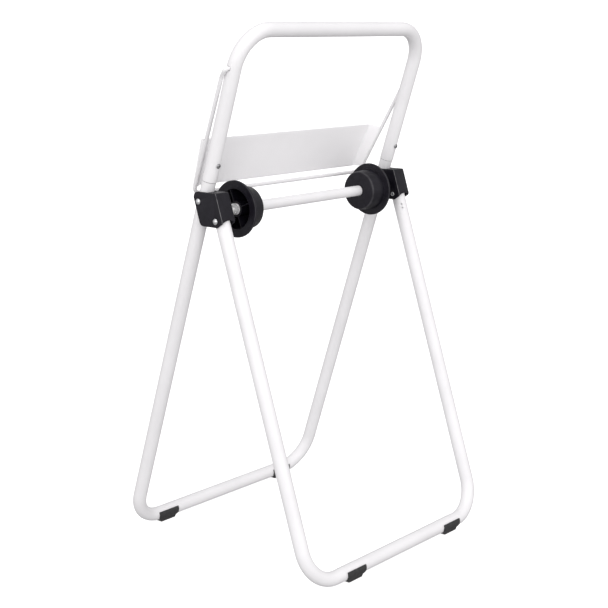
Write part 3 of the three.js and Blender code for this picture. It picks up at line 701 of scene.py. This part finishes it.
def tear_plate():
    """A grid over flange, fold, face, fold and flange, then given its thickness."""
    fold_radius, fold_steps, flange_steps, face_steps, rows = 0.0022, 6, 14, 24, 18
    columns = []

    def column(bottom, above, trim=0.0):
        length = (above - bottom).length
        end = bottom.lerp(above, 1 - trim / length)
        columns.append([bottom.lerp(end, k / rows) for k in range(rows + 1)])

    def flange_columns(edge_low, edge_top, low, top, order):
        corner = 0.009
        width = (edge_top - top).length
        for k in order:
            t = k / flange_steps
            out = max(0.0, (1 - t) * width - (width - corner))
            trim = corner - math.sqrt(max(0.0, corner ** 2 - out ** 2))
            column(edge_low.lerp(low, t), edge_top.lerp(top, t), trim)

    def fold_columns(edge_low, edge_top, low, top, other_low, other_top, order):
        for k in order:
            points = []
            for corner, one, two in ((low, edge_low, other_low), (top, edge_top, other_top)):
                a, b = (one - corner).normalized(), (two - corner).normalized()
                half = a.angle(b) / 2
                middle = corner + (a + b).normalized() * fold_radius / math.sin(half)
                start = corner + a * fold_radius / math.tan(half) - middle
                end = corner + b * fold_radius / math.tan(half) - middle
                points.append(middle + start.slerp(end, k / fold_steps).normalized() * fold_radius)
            column(*points)

    left_low, left_top = fold_line(-1)
    right_low, right_top = fold_line(1)
    left_edge, right_edge = plate_flange(-1), plate_flange(1)

    def beside_fold(edge, low, top):
        return (low + (edge[0] - low).normalized() * fold_radius,
                top + (edge[1] - top).normalized() * fold_radius)

    flange_columns(*left_edge, *beside_fold(left_edge, left_low, left_top), range(flange_steps))
    fold_columns(*left_edge, left_low, left_top, right_low, right_top, range(fold_steps + 1))
    in_low = (right_low - left_low).normalized() * fold_radius
    in_top = (right_top - left_top).normalized() * fold_radius
    for k in range(1, face_steps):
        t = k / face_steps
        column((left_low + in_low).lerp(right_low - in_low, t),
               (left_top + in_top).lerp(right_top - in_top, t))
    fold_columns(*right_edge, right_low, right_top, left_low, left_top, range(fold_steps, -1, -1))
    flange_columns(*right_edge, *beside_fold(right_edge, right_low, right_top),
                   range(flange_steps - 1, -1, -1))
    height = rows + 1
    vertices = [p for c in columns for p in c]
    faces = [(c * height + r, c * height + r + 1, (c + 1) * height + r + 1, (c + 1) * height + r)
             for c in range(len(columns) - 1) for r in range(rows)]
    piece = mesh_piece("tear_sheet", vertices, faces)
    step = piece.modifiers.new("thickness", "SOLIDIFY")
    step.thickness = plate_thickness - 0.00005
    step.offset = 0
    step.use_even_offset = True
    apply_steps(piece)
    soften(piece, 0.0002, 2, 60)
    return piece


# The tear plate gets a paler copy of the white powder coat: painted light, so the plate reads brighter than
# its lighting gives.
lit_sheet_white = white_powder_coat("white_powder_coat_lit_sheet", (0.945, 0.935, 0.945), (0.975, 0.965, 0.975))
fit_piece(tear_plate(), lit_sheet_white, "white_powder_coat", "bail", "tear_plate")

# ---------------------------------------------------------------------------------------------
# Spindle. A 19 mm white tube with a steel plug in each end, and in the plug a threaded M10 stud
# locked by a hexagon nut. The plain end of the stud is the journal.

axle_radius = 0.0095
axle_bore = 0.008
bush_flange = 0.0015
nut_height = 0.008
plug_length = 0.022
bush_flange_face = bracket_face - cradle_reach - gap - bush_flange
nut_outer_face = bush_flange_face - 0.0106
nut_inner_face = nut_outer_face - nut_height
axle_end = nut_inner_face - gap
journal_tip = bracket_face - 0.0008
axle_tube = tube("spindle_tube", [Vector((x, axle_place.y, axle_place.z)) for x in
                                  (-axle_end, -0.09, 0, 0.09, axle_end)], axle_radius, axle_bore)
fit_piece(axle_tube, powder_white, "white_powder_coat", "spindle", "axle_tube")


def threaded_stud(side, name):
    """A rolled thread through plug and nut, and a plain ground journal beyond the nut."""
    start = axle_end - 0.018
    length = journal_tip - start
    thread = nut_outer_face + 0.0012 - start
    pitch, major, depth, sides = 0.0015, 0.005, 0.00065, 36
    rows = int(thread / pitch * 8)
    vertices, faces = [], []

    def stud_point(along, k, radius):
        angle = 2 * math.pi * k / sides
        return Vector((side * (start + along), axle_place.y + math.cos(angle) * radius,
                       axle_place.z + math.sin(angle) * radius))

    for r in range(rows + 1):
        along = thread * r / rows
        fade = min(1.0, along / pitch, (thread - along) / pitch)
        for k in range(sides):
            wave = abs(((along / pitch - k / sides) % 1) * 2 - 1)
            vertices.append(stud_point(along, k, major - depth * fade * min(1.0, 1.25 * wave)))
    for along, radius in ((length - 0.001, major), (length - 0.0003, major - 0.0006),
                          (length, major - 0.0012)):
        vertices += [stud_point(along, k, radius) for k in range(sides)]
    count = rows + 4
    for r in range(count - 1):
        for k in range(sides):
            n = (k + 1) % sides
            faces.append((r * sides + k, r * sides + n, (r + 1) * sides + n, (r + 1) * sides + k))
    faces.append(tuple(range(sides)))
    faces.append(tuple((count - 1) * sides + k for k in range(sides)))
    return mesh_piece(name, vertices, faces)


def hexagon_nut(side, name):
    """Cold-formed nut: chamfered at both faces and countersunk at the thread."""
    chamfer, half_flats = 0.0008, 0.0085
    corner = half_flats / math.cos(math.pi / 6)
    outline = [Vector((axle_place.y + corner * math.cos(a), axle_place.z + corner * math.sin(a)))
               for a in (math.pi / 2 + math.pi / 3 * k for k in range(6))]
    x0, x1 = sorted((side * nut_inner_face, side * nut_outer_face))
    nut = prism_x(name, outline, x0, x1)
    round_off = turned("round_off", [
        (0, 0), (half_flats, 0), (corner + 0.0001, chamfer), (corner + 0.0001, nut_height - chamfer),
        (half_flats, nut_height), (0, nut_height)], axle_place, nut_inner_face, side, segments=96)
    carve(nut, round_off, "INTERSECT")
    hole = turned("hole", [
        (0, -0.001), (0.0067, -0.001), (0.0053, 0.0005), (0.0053, nut_height - 0.0005),
        (0.0067, nut_height + 0.001), (0, nut_height + 0.001)],
        axle_place, nut_inner_face, side, segments=48)
    carve(nut, hole)
    soften(nut, 0.00015, 2, 50)
    return nut


# A paler, less metallic copy of the zinc plating for studs and nuts: painted light standing in for their
# bright reflections.
lit_zinc = plated_steel("lit_zinc", (0.86, 0.86, 0.87), (0.95, 0.95, 0.94), 0.35)
for side, word in ((-1, "left"), (1, "right")):
    plug = turned(f"spindle_plug_{word}", [
        (0.0053, 0), (0.0073, 0), (0.0077, 0.0004), (0.0077, plug_length - 0.0004),
        (0.0073, plug_length), (0.0058, plug_length), (0.0053, plug_length - 0.0005)],
        axle_place, axle_end - plug_length, side, closed=True)
    fit_piece(plug, zinc, "zinc_plate", "spindle", f"axle_plug_{word}")
    stud = threaded_stud(side, f"spindle_stud_{word}")
    fit_piece(stud, lit_zinc, "zinc_plate", "spindle", f"axle_stud_{word}")
    nut = hexagon_nut(side, f"spindle_nut_{word}")
    fit_piece(nut, lit_zinc, "zinc_plate", "spindle", f"axle_nut_{word}")

# ---------------------------------------------------------------------------------------------
# Bushes. A flanged black nylon bush on each journal, which drops into the bracket's seat.

for side, word in ((-1, "left"), (1, "right")):
    length = journal_tip - bush_flange_face
    rim = bush_radius + bush_flange
    bush_profile = [(0.0056, 0), (rim - 0.0004, 0), (rim, 0.0004), (rim, bush_flange - 0.0004),
                    (rim - 0.0004, bush_flange), (bush_radius + 0.0002, bush_flange),
                    (bush_radius, bush_flange + 0.0002), (bush_radius, length - 0.0005),
                    (bush_radius - 0.0005, length), (0.0057, length), (0.0053, length - 0.0004),
                    (0.0053, 0.0003)]
    bush = turned(f"journal_bush_{word}", bush_profile, axle_place, bush_flange_face, side, closed=True)
    fit_piece(bush, black_nylon, "black_moulding", "bushes", f"axle_bush_{word}")

# ---------------------------------------------------------------------------------------------
# Roll cones. One black moulding each: a cup that enters the roll's core, a flange against the
# roll's side, and a ribbed hub that slides on the spindle tube.


# A paler copy of the moulding: a painted highlight for the cones' nose and flange rim.
rim_highlight_nylon = black_moulding("painted_rim_highlight", (0.02, 0.019, 0.023), (0.055, 0.053, 0.06))


def roll_cone(side, inset, name):
    """Distances run inwards from the flange's outer face."""
    face, cup, flange, depth, wall = 0.0356, 0.0372, 0.0485, 0.036, 0.003
    bore, hub, floor, rim_round = 0.0100, 0.0132, 0.033, 0.0012
    profile = [(bore, 0.0027), (bore + 0.0004, 0.0023), (hub - 0.0005, 0.0023), (hub, 0.0028)]
    profile += [(hub, floor - 0.001), (hub + 0.001, floor)]
    profile += [(face - wall - 0.0012, floor), (face - wall - 0.0002, floor - 0.001)]
    profile += [(cup - wall - 0.0001, 0.0006), (cup - wall + 0.0005, 0)]
    profile += [(flange - rim_round, 0)] + arc(flange - rim_round, rim_round, rim_round, -90, 0, 4)
    profile += arc(flange - rim_round, 0.0028, rim_round, 0, 90, 4) + [(cup + 0.0012, 0.0040)]
    profile += [(cup + 0.0003, 0.0043), (cup, 0.0052)]
    profile += [(face + 0.0001, depth - 0.0034), (face - 0.0006, depth - 0.0019)]
    profile += [(face - 0.0018, depth - 0.0006), (face - 0.0034, depth)]
    profile += [(bore + 0.0005, depth), (bore, depth - 0.0005)]
    start = axle_end - inset
    cone = turned(name, [(radius, -distance) for radius, distance in profile], axle_place, start, side,
                  closed=True, segments=128)
    first_rib = 22
    for k in range(4):
        angle = math.radians(first_rib + 90 * k)
        out = Vector((0, -math.cos(angle), math.sin(angle)))
        flat = Vector((0, math.sin(angle), math.cos(angle)))
        axis = Vector((side, 0, 0))
        centre = Vector((side * start, axle_place.y, axle_place.z))
        corners = []
        for distance, thick in ((0.0028, 0.0007), (floor + 0.0005, 0.001)):
            for radius in (hub - 0.001, face - wall + (0.0011 if distance < 0.01 else 0.0005)):
                for lean in (-1, 1):
                    corners.append(centre - axis * distance + out * radius + flat * lean * thick)
        faces = [(0, 1, 3, 2), (4, 6, 7, 5), (0, 2, 6, 4), (1, 5, 7, 3), (0, 4, 5, 1), (2, 3, 7, 6)]
        rib = mesh_piece("rib", corners, faces)
        carve(cone, rib, "UNION")
    return cone


for side, word, inset in ((-1, "left", -0.002), (1, "right", 0.009)):
    cone = roll_cone(side, inset, f"roll_cone_moulding_{word}")
    fit_piece(cone, black_nylon, "black_moulding", f"cone_{word}", f"roll_cone_{word}")
    # The cup's nose and the flange's rim take the paler copy as a painted highlight.
    cone.data.materials.append(rim_highlight_nylon)
    for face in cone.data.polygons:
        reach = math.hypot(face.center.y - axle_place.y, face.center.z - axle_place.z)
        on_nose = side * face.normal.x < -0.2 and 0.0335 < reach < 0.0358
        on_rim = reach > 0.0476 and abs(face.normal.x) > 0.2
        if (on_nose or on_rim) and abs(face.normal.x) < 0.97:
            face.material_index = 1

# ---------------------------------------------------------------------------------------------
# Feet. Black plastic clips pressed up onto the floor bars, flat underneath and chamfered at
# both ends so that the stand can be slid along.


def foot_plastic():
    """A tougher, duller plastic than the mouldings, scuffed pale underneath."""
    paint, tree, shader, place = node_paint("foot_plastic")
    base = ramp(tree, noise(tree, place, 140, 6, 0.7),
                [(0.35, (0.016, 0.016, 0.017)), (0.8, (0.04, 0.04, 0.04))])
    split = tree.nodes.new("ShaderNodeSeparateXYZ")
    tree.links.new(place, split.inputs["Vector"])
    low = tree.nodes.new("ShaderNodeMapRange")
    low.inputs["From Min"].default_value = 0.004
    low.inputs["From Max"].default_value = 0.0
    low.inputs["To Max"].default_value = 0.5
    tree.links.new(split.outputs["Z"], low.inputs["Value"])
    mix = tree.nodes.new("ShaderNodeMix")
    mix.data_type = "RGBA"
    tree.links.new(low.outputs["Result"], mix.inputs["Factor"])
    tree.links.new(base, mix.inputs["A"])
    mix.inputs["B"].default_value = (0.07, 0.068, 0.064, 1)
    tree.links.new(mix.outputs["Result"], shader.inputs["Base Color"])
    tree.links.new(ramp(tree, noise(tree, place, 200, 4), [(0.3, 0.42), (0.75, 0.6)]),
                   shader.inputs["Roughness"])
    bump(tree, shader, noise(tree, place, 1300, 4, 0.65), 0.00005, 0.8)
    return paint


foot_black = foot_plastic()


def foot_clip(side, y, inset, name):
    """A clip whose wall runs round the bar between two lips, on a flat base."""
    inner = tube_radius + gap
    wall, half_base, base_edge, half_length = 0.002, 0.01, 0.0006, 0.024
    outer = inner + wall
    lip = math.asin(0.0065 / outer) - 0.06
    base = math.asin(half_base / outer)

    def ring(radius, start, end, steps):
        return [Vector((y + radius * math.cos(a), bar_z + radius * math.sin(a)))
                for a in (start + (end - start) * k / steps for k in range(steps + 1))]

    def lip_end(angle, turn):
        middle = inner + wall / 2
        centre = Vector((y + middle * math.cos(angle), bar_z + middle * math.sin(angle)))
        return [centre + Vector((math.cos(a), math.sin(a))) * wall / 2
                for a in (angle + turn * math.pi * k / 8 for k in range(1, 8))]

    outline = ring(outer, lip, base - math.pi / 2, 14)
    outline += [Vector((y + half_base, base_edge)), Vector((y + half_base - base_edge, 0)),
                Vector((y - half_base + base_edge, 0)), Vector((y - half_base, base_edge))]
    outline += ring(outer, -math.pi / 2 - base, -math.pi - lip, 14)
    outline += lip_end(math.pi - lip, -1)
    outline += ring(inner, -math.pi - lip, lip, 40)
    outline += reversed(lip_end(lip, 1))
    middle = side * (leg_x - inset)
    x0, x1 = middle - half_length, middle + half_length
    clip = prism_x(name, outline, x0, x1)
    for x, inward in ((x0, 1), (x1, -1)):
        wedge = [(x - inward * 0.001, -0.001), (x + inward * 0.008, -0.001), (x - inward * 0.001, 0.011)]
        vertices = [(p[0], y + s * 0.03, p[1]) for s in (-1, 1) for p in wedge]
        faces = [(0, 1, 2), (5, 4, 3), (0, 3, 4, 1), (1, 4, 5, 2), (2, 5, 3, 0)]
        carve(clip, mesh_piece("wedge", vertices, faces))
    soften(clip, 0.0004, 3, 44)
    return clip


feet = [("front_stand", "front", -bar_y, -1, 0.104), ("front_stand", "front", -bar_y, 1, 0.091),
        ("rear_frame", "rear", bar_y, -1, 0.076), ("rear_frame", "rear", bar_y, 1, 0.080)]
for body, end, y, side, inset in feet:
    word = "left" if side < 0 else "right"
    clip = foot_clip(side, y, inset, f"{end}_foot_clip_{word}")
    fit_piece(clip, foot_black, "foot_plastic", body, f"{end}_foot_{word}")

# ---------------------------------------------------------------------------------------------
# Studio. A seamless pale floor curving up into a round wall, a sky that dims behind and below
# the stand, broad soft lights and the camera.

floor_paint, _, floor_shader, _ = node_paint("pale_backdrop")
floor_shader.inputs["Base Color"].default_value = (0.85, 0.85, 0.85, 1)
floor_shader.inputs["Roughness"].default_value = 0.7
floor_shader.inputs["Specular IOR Level"].default_value = 0.2
floor_shader.inputs["Emission Color"].default_value = (1, 1, 1, 1)
floor_shader.inputs["Emission Strength"].default_value = 0.74
sweep = [(8 + 3 * math.sin(a), 3 - 3 * math.cos(a)) for a in (math.radians(6 * k) for k in range(16))]
sweep_rings = [(Vector((0, 0, z)), Vector((1, 0, 0)), Vector((0, 1, 0)), reach)
               for reach, z in [(0, 0)] + sweep + [(11, 9)]]
backdrop = ring_grid("backdrop", sweep_rings, 96, False)
backdrop.data.materials.append(floor_paint)
backdrop.visible_diffuse = False
backdrop.visible_glossy = False

world = bpy.data.worlds.new("studio")
bpy.context.scene.world = world
world.use_nodes = True
sky = world.node_tree
sky.nodes["Background"].inputs["Color"].default_value = (1, 0.99, 1, 1)
away = sky.nodes.new("ShaderNodeVectorMath")
away.operation = "DOT_PRODUCT"
away.inputs[1].default_value = (0.746, 0.666, 0)
sky.links.new(sky.nodes.new("ShaderNodeTexCoord").outputs["Generated"], away.inputs[0])
fade = sky.nodes.new("ShaderNodeMapRange")
fade.interpolation_type = "SMOOTHSTEP"
fade.inputs["From Min"].default_value = -0.4
fade.inputs["From Max"].default_value = 0.7
fade.inputs["To Min"].default_value = 0.97
fade.inputs["To Max"].default_value = 0.44
sky.links.new(away.outputs["Value"], fade.inputs["Value"])
below = sky.nodes.new("ShaderNodeMapRange")
below.interpolation_type = "SMOOTHSTEP"
below.inputs["From Min"].default_value = -0.6
below.inputs["From Max"].default_value = 0.3
below.inputs["To Min"].default_value = 0.6
below.inputs["To Max"].default_value = 1.08
height = sky.nodes.new("ShaderNodeSeparateXYZ")
sky.links.new(away.inputs[0].links[0].from_socket, height.inputs["Vector"])
sky.links.new(height.outputs["Z"], below.inputs["Value"])
shade = sky.nodes.new("ShaderNodeMath")
shade.operation = "MULTIPLY"
sky.links.new(fade.outputs["Result"], shade.inputs[0])
sky.links.new(below.outputs["Result"], shade.inputs[1])
sky.links.new(shade.outputs["Value"], sky.nodes["Background"].inputs["Strength"])


def softbox(name, place, target, width, height, power):
    lamp = bpy.data.lights.new(name, "AREA")
    lamp.shape = "RECTANGLE"
    lamp.size = width
    lamp.size_y = height
    lamp.energy = power
    holder = bpy.data.objects.new(name, lamp)
    holder.location = place
    holder.rotation_euler = (Vector(target) - Vector(place)).to_track_quat("-Z", "Y").to_euler()
    bpy.context.scene.collection.objects.link(holder)


softbox("top_light", (-0.6, -0.5, 3.0), (0, 0, 0.4), 2.2, 2.2, 10)
softbox("left_light", (-3.0, -0.6, 1.5), (0, 0, 0.5), 1.4, 2.2, 10)
softbox("front_light", (-0.5, -3.0, 1.3), (0, 0, 0.5), 1.6, 2.0, 14)
softbox("edge_light", (-2.3, -1.8, 1.5), (0, 0, 0.6), 0.5, 1.6, 7)

lens = bpy.data.cameras.new("camera")
lens.sensor_width = 36
lens.lens = 74.87
lens.clip_end = 60
camera = bpy.data.objects.new("camera", lens)
heading, dip, roll = math.radians(41.714), math.radians(-12.344), math.radians(-0.066)
look = Vector((math.cos(heading) * math.cos(dip), math.sin(heading) * math.cos(dip), math.sin(dip)))
right = look.cross(Vector((0, 0, 1))).normalized()
above = right.cross(look)
turned_right = right * math.cos(roll) + above * math.sin(roll)
turned_above = above * math.cos(roll) - right * math.sin(roll)
facing = Matrix((turned_right, turned_above, -look)).transposed().to_4x4()
camera.matrix_world = Matrix.Translation((-1.6836, -1.4959, 0.9181)) @ facing
bpy.context.scene.collection.objects.link(camera)
bpy.context.scene.camera = camera

bpy.context.scene.view_settings.view_transform = "Standard"
